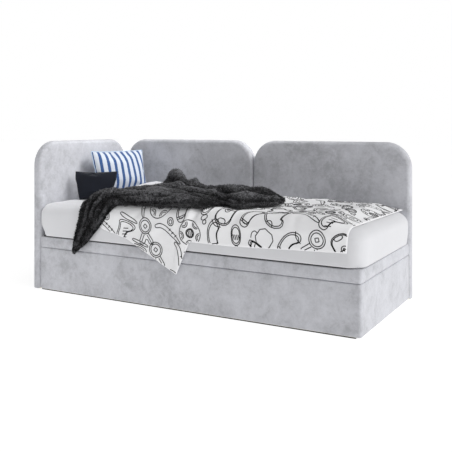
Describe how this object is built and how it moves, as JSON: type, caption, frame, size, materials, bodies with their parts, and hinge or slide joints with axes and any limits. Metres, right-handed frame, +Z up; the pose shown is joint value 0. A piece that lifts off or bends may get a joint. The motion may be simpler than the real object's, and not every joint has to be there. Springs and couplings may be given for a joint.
{
  "type": "youth storage daybed",
  "caption": "Upholstered youth daybed with a headboard, two rounded back panels and a lift-up platform over a storage box, with mattress and bedding.",
  "frame": {"origin": "middle of the whole footprint, on the floor", "axes": "+X from the headboard towards the foot end, +Y from the open front towards the back panels, +Z up"},
  "size_m": [2.114, 0.946, 0.908],
  "materials": {
    "grey_velvet": "short mottled pile",
    "back_lining": "matte non-woven cloth",
    "foam": "matte",
    "raw_board": "raw chipboard",
    "pine": "planed softwood",
    "white_hdf": "white faced hardboard",
    "beech": "satin lacquer",
    "black_plastic": "matte",
    "zinc_steel": "zinc plated",
    "black_metal": "satin powder coat",
    "chrome_rod": "polished",
    "mattress_cloth": "knitted cover",
    "white_sheet": "smooth cotton",
    "printed_cotton": "white cotton with black line drawings",
    "black_fur": "long soft pile",
    "navy_cloth": "fine plain weave",
    "striped_cloth": "white cloth with blue stripes"
  },
  "bodies": {
    "frame": {"headboard_board": "raw_board", "headboard_foam": "foam", "headboard_cover": "grey_velvet", "headboard_back_lining": "back_lining", "back_panel_1_board": "raw_board", "back_panel_1_foam": "foam", "back_panel_1_cover": "grey_velvet", "back_panel_1_back_lining": "back_lining", "back_panel_2_board": "raw_board", "back_panel_2_foam": "foam", "back_panel_2_cover": "grey_velvet", "back_panel_2_back_lining": "back_lining", "box_front_board": "raw_board", "box_foot_board": "raw_board", "box_back_board": "raw_board", "box_head_board": "raw_board", "box_foam": "foam", "box_cover": "grey_velvet", "corner_blocks": "pine", "floor_battens": "pine", "floor_sheets": "white_hdf", "glides": "black_plastic", "headboard_bolts": "zinc_steel", "back_panel_bolts": "zinc_steel", "base_plate_bolts": "zinc_steel", "rear_link_pins": "zinc_steel", "front_link_pins": "zinc_steel", "strut_base_pins": "zinc_steel", "base_plate_front": "black_metal", "base_plate_back": "black_metal"},
    "rear_links": {"rear_link_front": "black_metal", "rear_link_back": "black_metal"},
    "front_links": {"front_link_front": "black_metal", "front_link_back": "black_metal", "strut_top_pins": "zinc_steel"},
    "platform": {"platform_front_rail": "pine", "platform_foot_rail": "pine", "platform_back_rail": "pine", "platform_head_rail": "pine", "platform_foam": "foam", "platform_cover": "grey_velvet", "slats": "beech", "slat_holders": "black_plastic", "platform_bracket_front": "black_metal", "platform_bracket_back": "black_metal", "bracket_pins": "zinc_steel", "bracket_bolts": "zinc_steel", "mattress": "mattress_cloth", "fitted_sheet": "white_sheet", "pillow": "white_sheet", "duvet": "printed_cotton", "throw_blanket": "black_fur", "striped_cushion": "striped_cloth", "dark_cushion": "navy_cloth"},
    "strut_cylinders": {"strut_cylinder_front": "black_metal", "strut_cylinder_back": "black_metal"},
    "strut_rods": {"strut_rod_front": "chrome_rod", "strut_rod_back": "chrome_rod"}
  },
  "joints": [
    {"name": "rear_link_swing", "type": "hinge", "parent": "frame", "child": "rear_links", "pos_m": [-0.489, 0, 0.12], "axis": [0, 1, 0], "range_deg": [0, 50.11]},
    {"name": "platform_lift", "type": "hinge", "parent": "rear_links", "child": "platform", "pos_m": [-0.846, 0, 0.235], "axis": [0, -1, 0], "range_deg": [0, 78.1]},
    {"name": "front_link_swing", "type": "hinge", "parent": "frame", "child": "front_links", "pos_m": [-0.243, 0, 0.057], "axis": [0, 1, 0], "range_deg": [0, 41.45]},
    {"name": "strut_swing", "type": "hinge", "parent": "frame", "child": "strut_cylinders", "pos_m": [-0.4666, 0, 0.0765], "axis": [0, 1, 0], "range_deg": [0, 16.17]},
    {"name": "strut_stroke", "type": "slide", "parent": "strut_cylinders", "child": "strut_rods", "axis": [0.7524, 0, 0.6587], "range_m": [0, 0.1002]}
  ],
  "couplings": [
    {"joint": "rear_link_swing", "follows": "platform_lift", "ratio": 0.64148},
    {"joint": "front_link_swing", "follows": "platform_lift", "ratio": 0.5306},
    {"joint": "strut_swing", "follows": "platform_lift", "ratio": 0.20697},
    {"joint": "strut_stroke", "follows": "platform_lift", "m_per_rad": 0.073479}
  ]
}
